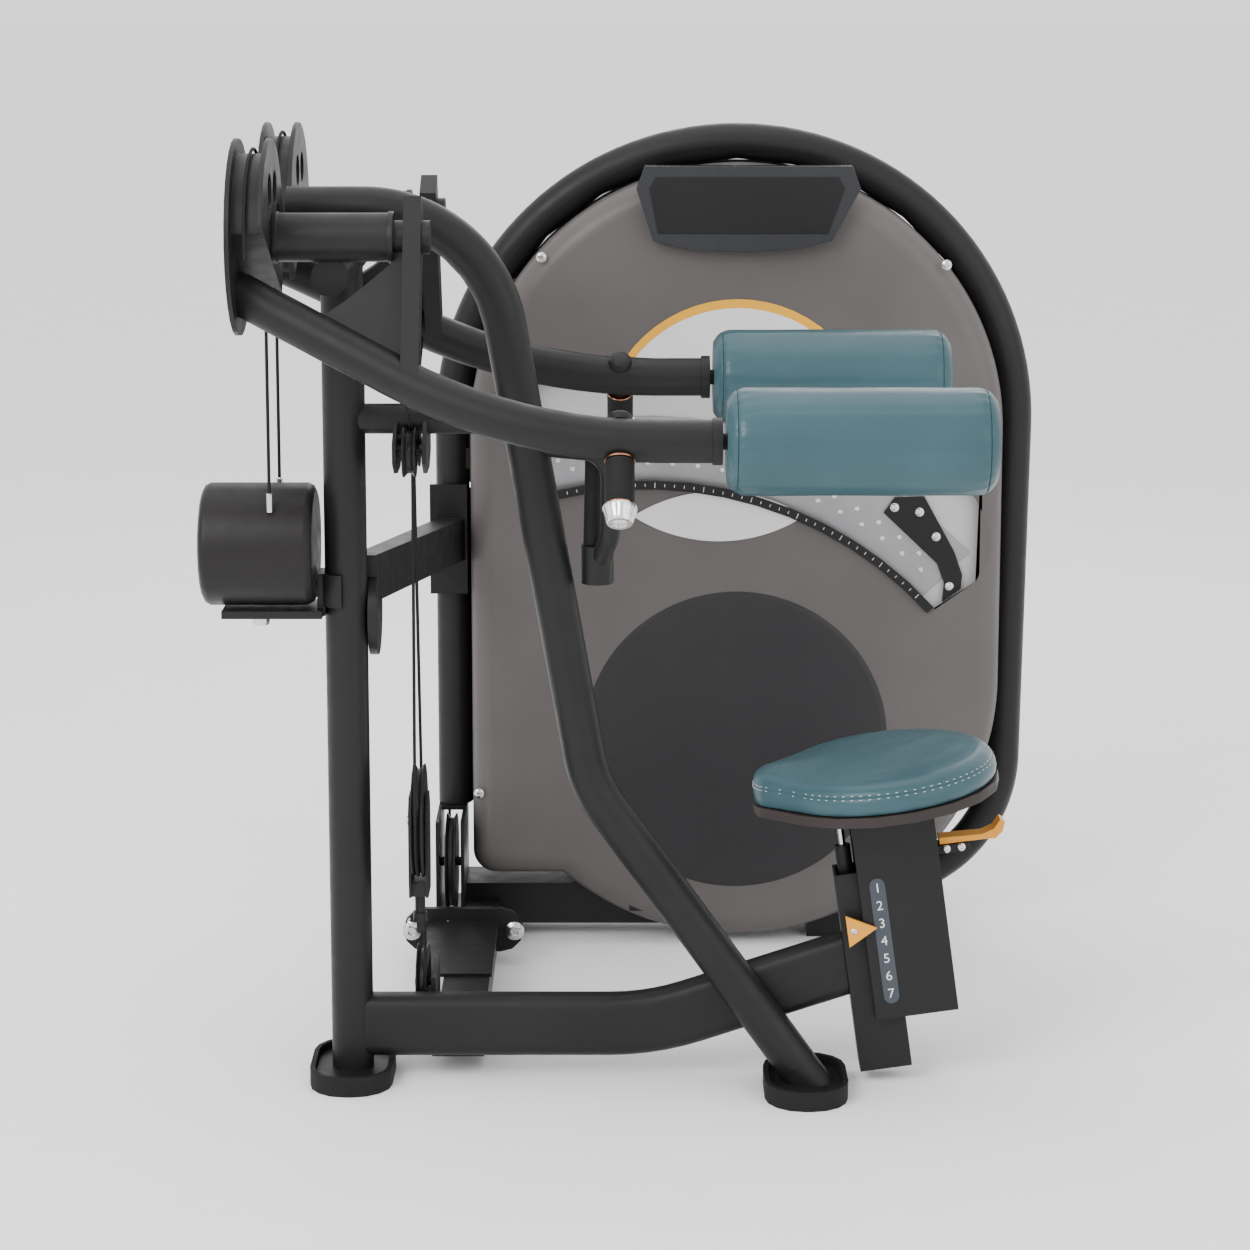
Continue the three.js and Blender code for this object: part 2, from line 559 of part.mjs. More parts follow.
// ---------------------------------------------------------------- arms, in their own plane
// Local axes: x along the pivot, y away from the pivot towards the roller pad, z across.
const armStations = roundedPath([
  [ARM.startX - 20, ARM.startR - 11, 0], [ARM.elbowX, ARM.reach, 0], [ARM.endX, ARM.reach, 0],
], [ARM.bend], 9);

function armBody() {
  const tube = cut(pipe(armStations, ARM.r, ARM.wall),
    block(-700, CAM.x0 + CAM.flange + GAP, -200, 400, -200, 200));
  const collar = rod('x', [0, ARM.reach, 0], 126, 140, 34);
  const spindle = rod('x', [0, ARM.reach, 0], 130, 500, 12, 0, 12);
  const bar = block(ARM_BAR.x0, ARM_BAR.x1, ARM_BAR.top, 225, -ARM_BAR.halfWidth, ARM_BAR.halfWidth);
  const web = plate([dot(-286, ARM_BAR.top), dot(-307, ARM_BAR.top), dot(-316, 0), dot(-325, 30),
    dot(-327, 41), dot(-352, 64), dot(-388, 95), dot(-430, 126), dot(-430, 150), dot(-286, 225)],
  'xy', -ARM_BAR.web / 2, ARM_BAR.web / 2);
  const hub = rod('x', [0, 0, 0], HOUSING.x1 + 2, ARM_BAR.x1 + 12, 24, 0, 20);
  return cut(join(tube, collar, spindle, bar, web, hub),
    rod('x', [0, 0, 0], -500, ARM_BAR.x1 + 6, SHAFT_R + GAP, 0, 20));
}

// everything on the handle's own axis, measured from the middle of the arm tube
function handlePiece(side, profile, facets = 18) {
  const lean = new THREE.Matrix4().makeRotationX(side * HANDLE.lean);
  lean.setPosition(HANDLE.x, ARM.reach, 0);
  return turned('y', [0, 0, 0], profile, facets).transform(lean.elements);
}

function armCam() {
  const { x0, x1, flange, flangeR, drumR, cutR } = CAM;
  const drum = turned('x', [0, 0, 0], [[x0, 0], [x0, flangeR], [x0 + flange, flangeR],
    [x0 + flange, drumR], [x1 - flange, drumR], [x1 - flange, flangeR], [x1, flangeR], [x1, 0]], 28);
  const holes = [-140, -90, -40].map((degrees) => {
    const angle = THREE.MathUtils.degToRad(degrees);
    return rod('x', [0, 76 * Math.sin(angle), 76 * Math.cos(angle)], x0 - 1, x1 + 1, 24, 0, 14);
  });
  return cut(drum, block(x0 + flange, x1 + 1, cutR, 200, -200, 200), ...holes,
    rod('x', [0, 0, 0], x0 - 1, x1 + 1, SHAFT_R + GAP, 0, 20));
}

function rollerPad() {
  const { x0, x1, r, bore } = PAD;
  return turned('x', [0, ARM.reach, 0], [[x0, bore], [x0, r - 16], [x0 + 5, r - 5], [x0 + 14, r],
    [x1 - 14, r], [x1 - 5, r - 5], [x1, r - 16], [x1, bore], [x0, bore]], 20);
}

function addArm(machine, side) {
  const name = side < 0 ? 'left' : 'right';
  const group = new THREE.Group();
  const away = new THREE.Vector3(0, side * Math.sin(PIVOT.lean), -Math.cos(PIVOT.lean));
  const along = new THREE.Vector3(1, 0, 0);
  const across = new THREE.Vector3().crossVectors(along, away);
  group.applyMatrix4(new THREE.Matrix4().makeBasis(along, away, across)
    .setPosition(0, side * PIVOT.y, PIVOT.z));
  const { from, to, end, gripR } = HANDLE;
  const stem = handlePiece(side, [[-42, 0], [-42, 10], [-38, 18], [-29, 18], [-25, 12], [25, 12],
    [25, 16], [31, 16], [31, 10], [to, 10], [to, 0]]);
  const gripSkin = handlePiece(side,
    [[from, 10.4], [from, gripR], [to - GAP, gripR], [to - GAP, 10.4], [from, 10.4]]);
  const cap = handlePiece(side, [[to + GAP, 0], [to + GAP, 24.7], [to + 5, 24.7], [end, 18.5],
    [end, 12], [end - 8, 10], [end - 8, 0]]);
  group.add(
    toMesh(`${name}_arm`, join(armBody(), stem), FINISH.frame()),
    toMesh(`${name}_cam`, armCam(), FINISH.frame()),
    toMesh(`${name}_pivot_shaft`,
      rod('x', [0, 0, 0], CAM.x0 + 1, ARM_BAR.x1 + 5, SHAFT_R, 0, 20), FINISH.steel()),
    toMesh(`${name}_grip`, gripSkin, FINISH.rubber()),
    toMesh(`${name}_grip_cap`, cap, FINISH.steel()),
    toMesh(`${name}_roller_pad`, rollerPad(), FINISH.vinyl()));
  machine.add(group);
}

// ---------------------------------------------------------------- seat, along the leaning mast
// Local axes: x is u, backwards across the mast, and z is w, up along it.
const seatPlace = new THREE.Matrix4().makeRotationY(SEAT.lean).setPosition(SEAT.x, 0, SEAT.z);

function mastCutter() {
  return block(-MAST.u - GAP, MAST.u + 120, -60, 60, -50, 400).transform(seatPlace.elements);
}

function seatMast() {
  const { u, halfY, top, wall } = MAST;
  return cut(block(-u, u, -halfY, halfY, 0, top),
    block(-u + wall, u - wall, -halfY + wall, halfY - wall, 6, top + 10));
}

function seatCarriage() {
  const { u0, u1, outerY, innerY, bottom, top } = CARRIAGE;
  const channel = cut(block(u0, u1, -outerY, outerY, bottom, top),
    block(u0 - 1, u1 - 6, -innerY, innerY, bottom - 1, top - 8));
  return join(channel, block(-36, u0 + 1, -outerY, outerY, top - 8, top),
    block(u1 - 1, u1 + 50, -17, 17, 324, 337));
}

function seatPointer() {
  const flag = plate([dot(14, 232), dot(-32, 257), dot(-32, 207)], 'xz', -52, -46.5);
  return join(flag, block(-30, -14, -47, -MAST.halfY - GAP, 222, 242));
}

function addSeat(machine) {
  const group = new THREE.Group();
  group.position.set(SEAT.x, 0, SEAT.z);
  group.rotation.y = SEAT.lean;
  const lever = [dot(126, 338), dot(190, 337.5), dot(212, 336), dot(224, 346), dot(229, 360),
    dot(222, 365), dot(211, 352), dot(192, 346), dot(126, 349)];
  const body = cut(rod('z', [STRUT.u, 0, 0], 6.5, STRUT.top, STRUT.r),
    rod('z', [STRUT.u, 0, 0], 60, STRUT.top + 1, STRUT.bore, 0, 12));
  group.add(
    toMesh('seat_mast', seatMast(), FINISH.frame()),
    toMesh('seat_carriage', seatCarriage(), FINISH.frame()),
    toMesh('seat_pan', plate(teardrop(PAN.noseU, PAN.noseR, PAN.rearU, PAN.rearR, 14), 'xy',
      PAN.bottom, PAN.top), FINISH.pan()),
    toMesh('seat_cushion', plate(teardrop(PAN.noseU, CUSHION.noseR, PAN.rearU, CUSHION.rearR, 14),
      'xy', CUSHION.bottom, CUSHION.top), FINISH.vinyl()),
    toMesh('seat_lever', plate(lever, 'xz', -15, 15), FINISH.yellow()),
    toMesh('seat_pointer', seatPointer(), FINISH.yellow()),
    toMesh('seat_strut_body', body, FINISH.nylon()),
    toMesh('seat_strut_rod', rod('z', [STRUT.u, 0, 0], 200, 414.5, STRUT.rodR, 0, 12),
      FINISH.steel()));
  machine.add(group);
}

// ---------------------------------------------------------------- the whole machine
const machine = new THREE.Group();
const add = (name, solid, material) => machine.add(toMesh(name, solid, material));

add('front_post', frontPost(), FINISH.frame());
add('front_foot_pad', footPad(FRONT_FOOT), FINISH.rubber());
add('rear_foot_pad', footPad(REAR_FOOT), FINISH.rubber());
add('arch_tube', archTube(), FINISH.frame());
add('base_beam', baseBeam(), FINISH.frame());
add('pivot_frame', pivotFrame(), FINISH.frame());
add('pulley_hanger', pulleyHanger(), FINISH.frame());
add('upper_link', upperLink(), FINISH.frame());
add('lower_link', lowerLink(), FINISH.frame());
add('stabiliser_bar', stabiliserBar(), FINISH.frame());
add('stabiliser_grip', pipe(roundedPath([[-45, 0, 838.4], [-42, 0, 972]], []), 13, 0, 14),
  FINISH.rubber());
add('tower_hoop', towerHoop(), FINISH.frame());
add('tower_base', towerBase(), FINISH.frame());
add('front_shroud', shroud(true), FINISH.shroud());
add('rear_shroud', shroud(false), FINISH.shroud());
add('name_housing', nameHousing(), FINISH.housing());
add('window_sill', arcBand(652, SWING.sillR, 104, 42, 628, SHROUD.front - GAP), FINISH.frame());
add('window_plate', arcBand(645, 775, 104, 44, 652, 654), FINISH.steel());
add('window_bracket', windowBracket(), FINISH.frame());
add('load_selector', loadSelector(), FINISH.yellow());
add('pack_shaft', rod('y', [SWING.x, 0, SWING.z], 640, 810, 20, 0, 20), FINISH.steel());
for (let i = 0; i < PACK.count; i += 1) {
  const y0 = PACK.firstY + i * PACK.pitch;
  add(`pack_plate_${i + 1}`, weightSector(y0, y0 + PACK.thick, PACK.r), FINISH.frame());
}
add('swing_arm', weightSector(SWING_ARM.y0, SWING_ARM.y1, PACK.r - 20), FINISH.frame());
add('counterweight_drum', counterweightDrum(), FINISH.rubber());
add('counterweight_carriage', counterweightCarriage(), FINISH.frame());
add('left_guide_pulley', sheave('x', { ...GUIDE, y: -GUIDE.y }, 5.4), FINISH.nylon());
add('right_guide_pulley', sheave('x', GUIDE, 5.4), FINISH.nylon());
add('floating_pulley', sheave('x', FLOAT, 8.4), FINISH.nylon());
add('floating_block', floatingBlock(), FINISH.frame());
add('base_pulley', sheave('x', BASE_WHEEL, 6.4), FINISH.nylon());
add('low_pulley', sheave('x', LOW_WHEEL, 8.4), FINISH.nylon());
add('top_pulley', sheave('y', TOP_WHEEL, 6.4), FINISH.nylon());
add('left_balance_cable', balanceCable(-1), FINISH.rubber());
add('right_balance_cable', balanceCable(1), FINISH.rubber());
add('equaliser_cable', equaliserCable(), FINISH.rubber());
add('lift_cable', liftCable(), FINISH.rubber());
addArm(machine, -1);
addArm(machine, 1);
addSeat(machine);

machine.position.set(-FOOTPRINT_CENTRE.x, -FOOTPRINT_CENTRE.y, 0);
machine.updateMatrixWorld(true);

export default machine;
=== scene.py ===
"""Seated lateral raise machine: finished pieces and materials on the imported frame, in metres."""
import json
import math
import bmesh
import bpy
from mathutils import Matrix, Vector


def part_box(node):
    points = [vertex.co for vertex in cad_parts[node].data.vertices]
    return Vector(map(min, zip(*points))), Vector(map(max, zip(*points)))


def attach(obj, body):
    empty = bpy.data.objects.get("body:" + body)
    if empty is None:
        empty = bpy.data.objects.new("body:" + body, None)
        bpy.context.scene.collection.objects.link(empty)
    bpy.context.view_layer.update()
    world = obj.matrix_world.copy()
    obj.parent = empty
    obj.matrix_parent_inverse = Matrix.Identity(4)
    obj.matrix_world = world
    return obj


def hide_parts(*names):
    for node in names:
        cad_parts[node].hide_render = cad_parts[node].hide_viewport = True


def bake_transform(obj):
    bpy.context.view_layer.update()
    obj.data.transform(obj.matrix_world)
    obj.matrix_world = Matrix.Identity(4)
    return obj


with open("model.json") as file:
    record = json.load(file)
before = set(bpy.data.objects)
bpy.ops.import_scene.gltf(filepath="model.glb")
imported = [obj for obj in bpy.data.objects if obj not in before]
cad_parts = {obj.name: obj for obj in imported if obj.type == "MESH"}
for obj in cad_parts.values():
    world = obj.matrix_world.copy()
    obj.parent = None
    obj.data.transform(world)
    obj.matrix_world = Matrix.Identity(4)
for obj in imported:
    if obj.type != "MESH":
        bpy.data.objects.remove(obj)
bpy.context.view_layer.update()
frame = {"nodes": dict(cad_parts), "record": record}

RECORD = frame["record"]
BODY_OF = {n: b for b, ns in RECORD["behaviour"]["bodies"].items() for n in ns}
SLOT_OF = {s["node"]: s["material_slot"] for s in RECORD["subparts"]}

# ---------------------------------------------------------------- design axes, in millimetres
foot_low, foot_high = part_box("front_foot_pad")
TOWER_Y, POST_X = 740, -416
OFFSET = Vector(((foot_low.x + foot_high.x) / 2 - POST_X / 1000, (foot_low.y + foot_high.y) / 2, 0))
DESIGN = Matrix.Translation(OFFSET) @ Matrix.Scale(0.001, 4)
PIVOT_Y, PIVOT_Z, ARM_LEAN = 196, 1320, math.radians(25.5)
ARM_REACH = 302
HANDLE_X, HANDLE_LEAN = -3, math.radians(11.5)
PAD_START, PAD_END, PAD_R = 147, 520, 76
SWING_X, SWING_Z = 38.8, 160
SHROUD_X, SHROUD_R, HEAD_Z, LOW_Z, CORNER_Z = 196, 456, 907, 469, 125
SHROUD_FRONT, SHROUD_BACK, SHROUD_DEPTH, SHROUD_EDGE = 636, 844, 72, 40
SHROUD_SKIN, CORNER_R = 3, 40
SEAT = DESIGN @ Matrix.Translation((407, 0, 22.6)) @ Matrix.Rotation(math.radians(-8), 4, "Y")
BIG_SKIN_R, SMALL_SKIN_R, FOAM_R = 31.95, 30.2, 13.4
ARM_BEND_R, ARM_START = 773, 84
CABLE_R, CABLE_SIDES = 2.5, 10
BALANCE_X, BALANCE_R, BALANCE_END_Z = -521.5, 125, 903
EQUALISER_X, LIFT_X = -313, -305
GUIDE_WHEEL, FLOATING_WHEEL = (48, 987, 35), (33, 400, 84)
BASE_WHEEL, LOW_WHEEL, TOP_WHEEL = (89, 122, 56), (659, 147, 81), (-255, 850, 42)
CAM_ANCHOR_OUT, CAM_ANCHOR_IN = 204.5, 37
PACK_ANCHOR_R, PACK_ANCHOR_ANGLE = 400, math.radians(62)
SELECTOR_ANGLE = math.radians(14)
HOLE_COUNT, HOLE_STEP, HOLE_START, HOLE_ROWS = 16, 3.55, 47, (695, 714)
TICK_COUNT, TICK_STEP, TICK_START, TICK_R = 40, 1.45, 45, 659.5
DIGIT_STEP, SCALE_TOP = 28, 292
LOOK_DOWN = 9.7
EDGE_ANGLE = math.radians(38)


def arm_place(side):
    """Local axes of one arm: x along its pivot, y towards its pad, z across."""
    along = Vector((1, 0, 0))
    away = Vector((0, side * math.sin(ARM_LEAN), -math.cos(ARM_LEAN)))
    basis = Matrix((along, away, along.cross(away))).transposed().to_4x4()
    return DESIGN @ Matrix.Translation((0, side * PIVOT_Y, PIVOT_Z)) @ basis


# ---------------------------------------------------------------- materials
def material(name, color, rough, metal=0.0, grain=900, depth=0.1, vary=0.12, coat=0.0, sheen=0.0):
    """A finish with broad colour variation, patchy roughness and fine grain."""
    mat = bpy.data.materials.new(name)
    mat.use_nodes = True
    nodes, links = mat.node_tree.nodes, mat.node_tree.links
    shader = nodes["Principled BSDF"]
    shader.inputs["Metallic"].default_value = metal
    shader.inputs["Coat Weight"].default_value = coat
    shader.inputs["Sheen Weight"].default_value = sheen
    place = nodes.new("ShaderNodeTexCoord")

    def noise(scale, detail):
        node = nodes.new("ShaderNodeTexNoise")
        node.inputs["Scale"].default_value = scale
        node.inputs["Detail"].default_value = detail
        links.new(place.outputs["Object"], node.inputs["Vector"])
        return node

    def remap(source, low, high):
        node = nodes.new("ShaderNodeMapRange")
        node.inputs["From Min"].default_value = 0.3
        node.inputs["From Max"].default_value = 0.7
        node.inputs["To Min"].default_value = low
        node.inputs["To Max"].default_value = high
        links.new(source, node.inputs["Value"])
        return node.outputs["Result"]

    shader.inputs["Specular IOR Level"].default_value = 0.5 if metal > 0.5 else 0.22
    broad = noise(7, 4)
    tint = nodes.new("ShaderNodeMix")
    tint.data_type = "RGBA"
    tint.inputs["A"].default_value = (*[c * (1 - vary) for c in color], 1)
    tint.inputs["B"].default_value = (*[min(1, c * (1 + vary)) for c in color], 1)
    links.new(remap(broad.outputs["Fac"], 0, 1), tint.inputs["Factor"])
    links.new(tint.outputs["Result"], shader.inputs["Base Color"])
    patches = noise(38, 5)
    links.new(remap(patches.outputs["Fac"], rough - 0.06, rough + 0.06), shader.inputs["Roughness"])
    fine = noise(grain, 3)
    bump = nodes.new("ShaderNodeBump")
    bump.inputs["Strength"].default_value = depth
    bump.inputs["Distance"].default_value = 0.0005
    links.new(fine.outputs["Fac"], bump.inputs["Height"])
    links.new(bump.outputs["Normal"], shader.inputs["Normal"])
    return mat


def leather_grain(mat):
    """Adds the pebbled cells of upholstery vinyl under the fine grain."""
    nodes, links = mat.node_tree.nodes, mat.node_tree.links
    place = next(n for n in nodes if n.type == "TEX_COORD")
    cells = nodes.new("ShaderNodeTexVoronoi")
    cells.feature = "DISTANCE_TO_EDGE"
    cells.inputs["Scale"].default_value = 520
    links.new(place.outputs["Object"], cells.inputs["Vector"])
    fine = next(n for n in nodes if n.type == "BUMP")
    pebble = nodes.new("ShaderNodeBump")
    pebble.inputs["Strength"].default_value = 0.22
    pebble.inputs["Distance"].default_value = 0.0006
    links.new(cells.outputs["Distance"], pebble.inputs["Height"])
    links.new(pebble.outputs["Normal"], fine.inputs["Normal"])
    return mat


MATS = {
    "frame_paint": material("frame_paint", (0.0105, 0.0105, 0.011), 0.42, 0, 1400, 0.28, 0.10),
    "shroud_plastic": material("shroud_plastic", (0.098, 0.089, 0.087), 0.36, 0, 1100, 0.1, 0.05),
    "vinyl": leather_grain(material("vinyl", (0.033, 0.078, 0.094), 0.34, 0, 1500, 0.12, 0.10, 0.12)),
    "pan_plastic": material("pan_plastic", (0.030, 0.022, 0.022), 0.5, 0, 700, 0.25),
    "black_rubber": material("black_rubber", (0.008, 0.008, 0.008), 0.72, 0, 600, 0.35),
    "weight_black": material("weight_black", (0.011, 0.0095, 0.0095), 0.42, 0, 420, 0.3),
    "nylon": material("nylon", (0.009, 0.009, 0.0095), 0.4, 0, 900, 0.15),
    "bright_steel": material("bright_steel", (0.62, 0.61, 0.60), 0.24, 1, 900, 0.12, 0.06),
    "grip_metal": material("grip_metal", (0.80, 0.80, 0.79), 0.22, 1, 1200, 0.1, 0.04),
    "index_steel": material("index_steel", (0.30, 0.30, 0.31), 0.4, 0.6, 800, 0.2, 0.08),
    "yellow_plastic": material("yellow_plastic", (0.72, 0.30, 0.02), 0.35, 0, 700, 0.1, 0.06, 0.2),
    "badge_plastic": material("badge_plastic", (0.014, 0.015, 0.018), 0.25, 0, 900, 0.06, 0.08, 0.4),
    "copper": material("copper", (0.55, 0.25, 0.14), 0.25, 1, 900, 0.1),
    "pale_print": material("pale_print", (0.66, 0.66, 0.66), 0.4, 0, 900, 0.04, 0.03),
    "yellow_print": material("yellow_print", (0.72, 0.36, 0.03), 0.4, 0, 900, 0.04, 0.04),
    "shroud_dark": material("shroud_dark", (0.024, 0.023, 0.025), 0.45, 0, 1100, 0.1, 0.05),
    "liner": material("liner", (0.50, 0.50, 0.50), 0.5, 0, 500, 0.1, 0.05),
    "scale_grey": material("scale_grey", (0.050, 0.058, 0.070), 0.4, 0, 900, 0.08, 0.04),
}


# ---------------------------------------------------------------- mesh helpers
def piece(name, bm, place, mat, body, smooth=True, bevel=0.0):
    """A finished piece from local millimetres, riding on a CAD body if one is given."""
    bm.transform(place)
    bmesh.ops.recalc_face_normals(bm, faces=bm.faces)
    for face in bm.faces:
        face.smooth = smooth
    for edge in bm.edges:
        if len(edge.link_faces) == 2 and edge.calc_face_angle(0) > EDGE_ANGLE:
            edge.smooth = False
    mesh = bpy.data.meshes.new(name)
    bm.to_mesh(mesh)
    bm.free()
    obj = bpy.data.objects.new(name, mesh)
    bpy.context.scene.collection.objects.link(obj)
    mesh.materials.append(MATS[mat])
    if bevel:
        add_bevel(obj, bevel)
    if body:
        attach(obj, body)
    return obj


def add_bevel(obj, width):
    """Small rounded edges that catch the light."""
    bevel = obj.modifiers.new("edge", "BEVEL")
    bevel.width = width
    bevel.segments = 2
    bevel.limit_method = "ANGLE"
    bevel.angle_limit = EDGE_ANGLE
    obj.modifiers.new("normals", "WEIGHTED_NORMAL")


def lathe(name, profile, place, mat, body, segments=40, ripple=None):
    """A solid turned about local x: the profile is (distance along, radius), from axis to axis."""
    bm = bmesh.new()
    rings = []
    for along, radius in profile:
        ring = []
        for k in range(segments):
            angle = 2 * math.pi * k / segments
            r = radius + (ripple(along, angle) if ripple else 0)
            ring.append(bm.verts.new((along, r * math.cos(angle), r * math.sin(angle))))
        rings.append(ring)
    for a, b in zip(rings, rings[1:]):
        for k in range(segments):
            n = (k + 1) % segments
            bm.faces.new((a[k], a[n], b[n], b[k]))
    bm.faces.new(rings[0])
    bm.faces.new(rings[-1])
    return piece(name, bm, place, mat, body)


def prism(name, outline, y0, y1, place, mat, body, bevel=0.0006):
    """An outline in local x and z, thickened along y."""
    bm = bmesh.new()
    near = [bm.verts.new((x, y0, z)) for x, z in outline]
    far = [bm.verts.new((x, y1, z)) for x, z in outline]
    bm.faces.new(near)
    bm.faces.new(far)
    for k in range(len(outline)):
        n = (k + 1) % len(outline)
        bm.faces.new((near[k], near[n], far[n], far[k]))
    return piece(name, bm, place, mat, body, smooth=False, bevel=bevel)


def rounded_path(corners, radii, step=3):
    """Points along a polyline whose inner corners are rounded."""
    corners = [Vector(c) for c in corners]
    points = [corners[0]]
    for i in range(1, len(corners) - 1):
        into = (corners[i] - corners[i - 1]).normalized()
        out = (corners[i + 1] - corners[i]).normalized()
        turn = into.angle(out)
        radius = radii[i - 1]
        start = corners[i] - into * radius * math.tan(turn / 2)
        inward = (out - into * math.cos(turn)).normalized()
        count = max(3, math.ceil(math.degrees(turn) / step))
        for k in range(count + 1):
            a = turn * k / count
            points.append(start + into * radius * math.sin(a) + inward * radius * (1 - math.cos(a)))
    points.append(corners[-1])
    return points


def tube(name, points, radius, place, mat, body, segments=36):
    """A smooth round tube along points, with flat ends."""
    bm = bmesh.new()
    rings = []
    direction = (points[1] - points[0]).normalized()
    side = direction.orthogonal().normalized()
    for i, point in enumerate(points):
        back = (point - points[max(i - 1, 0)]) if i else direction
        ahead = (points[i + 1] - point) if i + 1 < len(points) else back
        facing = (back.normalized() + ahead.normalized()).normalized()
        side = (side - facing * side.dot(facing)).normalized()
        up = facing.cross(side)
        ring = []
        for k in range(segments):
            angle = 2 * math.pi * k / segments
            ring.append(bm.verts.new(point + side * radius * math.cos(angle)
                                     + up * radius * math.sin(angle)))
        rings.append(ring)
    for a, b in zip(rings, rings[1:]):
        for k in range(segments):
            n = (k + 1) % segments
            bm.faces.new((a[k], a[n], b[n], b[k]))
    bm.faces.new(rings[0])
    bm.faces.new(rings[-1])
    return piece(name, bm, place, mat, body)


def arc(cx, cz, radius, start, end, steps):
    """Points round a centre, from one angle in degrees to another."""
    turns = [math.radians(start + (end - start) * k / steps) for k in range(steps + 1)]
    return [(cx + radius * math.cos(t), cz + radius * math.sin(t)) for t in turns]


def swing_arc(radius, start, end, steps):
    """Points round the low centre that the pack swings about."""
    return arc(SWING_X, SWING_Z, radius, start, end, steps)


def screw(name, x, y, z, radius, toward, body, place=DESIGN, mat="bright_steel"):
    """A domed socket screw whose head faces along toward, a unit vector."""
    turn = Vector((1, 0, 0)).rotation_difference(Vector(toward)).to_matrix().to_4x4()
    profile = [(0, radius), (radius * 0.3, radius * 0.96), (radius * 0.55, radius * 0.62),
               (radius * 0.58, radius * 0.42), (radius * 0.25, radius * 0.38)]
    return lathe(name, profile, place @ Matrix.Translation((x, y, z)) @ turn, mat, body, 20)


# ---------------------------------------------------------------- CAD nodes and their finishes
REPLACED_LATER = {"left_roller_pad", "right_roller_pad", "seat_cushion", "front_shroud",
                  "rear_shroud", "left_grip_cap", "right_grip_cap", "left_grip", "right_grip",
                  "left_balance_cable", "right_balance_cable", "equaliser_cable", "lift_cable",
                  "load_selector"}
for node, cad in frame["nodes"].items():
    cad.data.materials.clear()
    cad.data.materials.append(MATS[SLOT_OF[node]])
    if node in REPLACED_LATER:
        continue
    bm = bmesh.new()
    bm.from_mesh(cad.data)
    bmesh.ops.remove_doubles(bm, verts=bm.verts, dist=1e-5)
    bmesh.ops.dissolve_limit(bm, angle_limit=math.radians(0.5), verts=bm.verts, edges=bm.edges)
    worn = piece(node + "_finished", bm, Matrix.Identity(4), SLOT_OF[node], BODY_OF[node],
                 bevel=0.0008)
    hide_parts(node)

# ---------------------------------------------------------------- smooth tubes over the frame
arch = rounded_path([(-495, 0, 1345), (-204.4, 0, 1345), (-49.5, 0, 466.6), (266, -61.6, 43)],
                    [210, 180])
tube("arch_skin", arch, BIG_SKIN_R, DESIGN, "frame_paint", "root")
post = [Vector((POST_X, 0, 12)), Vector((POST_X, 0, 1240))]
tube("post_skin", post, BIG_SKIN_R, DESIGN, "frame_paint", "root")
hoop = rounded_path([(-293, TOWER_Y, 910), (-293, TOWER_Y, 1397), (687, TOWER_Y, 1397),
                     (667, TOWER_Y, 167), (440, TOWER_Y, 61)], [488, 482, 240])
tube("hoop_skin", hoop, SMALL_SKIN_R, DESIGN, "frame_paint", "root")
leg = [Vector((-293, TOWER_Y, 236)), Vector((-293, TOWER_Y, 794))]
tube("leg_skin", leg, SMALL_SKIN_R, DESIGN, "frame_paint", "root")
foam = [Vector((-45, 0, 839)), Vector((-42, 0, 971))]
tube("grab_foam", foam, FOAM_R, DESIGN, "black_rubber", "root")
for side in (-1, 1):
    name = "left" if side < 0 else "right"
    path = rounded_path([(-540, ARM_START, 0), (-147, ARM_REACH, 0), (132, ARM_REACH, 0)],
                        [ARM_BEND_R])
    tube(name + "_arm_skin", path, SMALL_SKIN_R, arm_place(side), "frame_paint",
         name + "_arm_body")


# ---------------------------------------------------------------- roller pads and grips
def pad_ripple(along, angle):
    """Soft puckers that fade away from the stitched ends, and one lengthwise seam."""
    edge = min(along - PAD_START, PAD_END - along)
    pucker = 0.9 * math.exp(-(edge - 18) ** 2 / 260) * math.sin(angle * 23 + along * 0.05)
    slow = 0.45 * math.sin(angle * 3 + along * 0.021) * math.sin(along * 0.017 + angle)
    seam = -1.3 * math.exp(-((angle - 4.4) * PAD_R) ** 2 / 3)
    return (pucker + slow + seam) if edge > 10 else 0


def pad_profile():
    """The roller pad's profile: a flat end, a soft shoulder with its seam, and a straight middle."""
    length = PAD_END - PAD_START
    rise = [(0, 16), (0, 54), (-1.5, 57), (1, 61), (5, 66.5), (9.5, 70.5), (12, 71.4), (13, 70.2),
            (14, 71.8), (18, 73.8), (25, 75), (36, 75.5)]
    middle = [(36 + (length - 72) * k / 24, 75.5) for k in range(1, 24)]
    fall = [(length - a, r) for a, r in reversed(rise)]
    return [(PAD_START + a, r) for a, r in rise + middle + fall]


def cap_flutes(along, angle):
    """The finger flutes round the end cap's taper."""
    return -0.8 * max(0, math.sin(angle * 12)) if 104 < along < 122 else 0


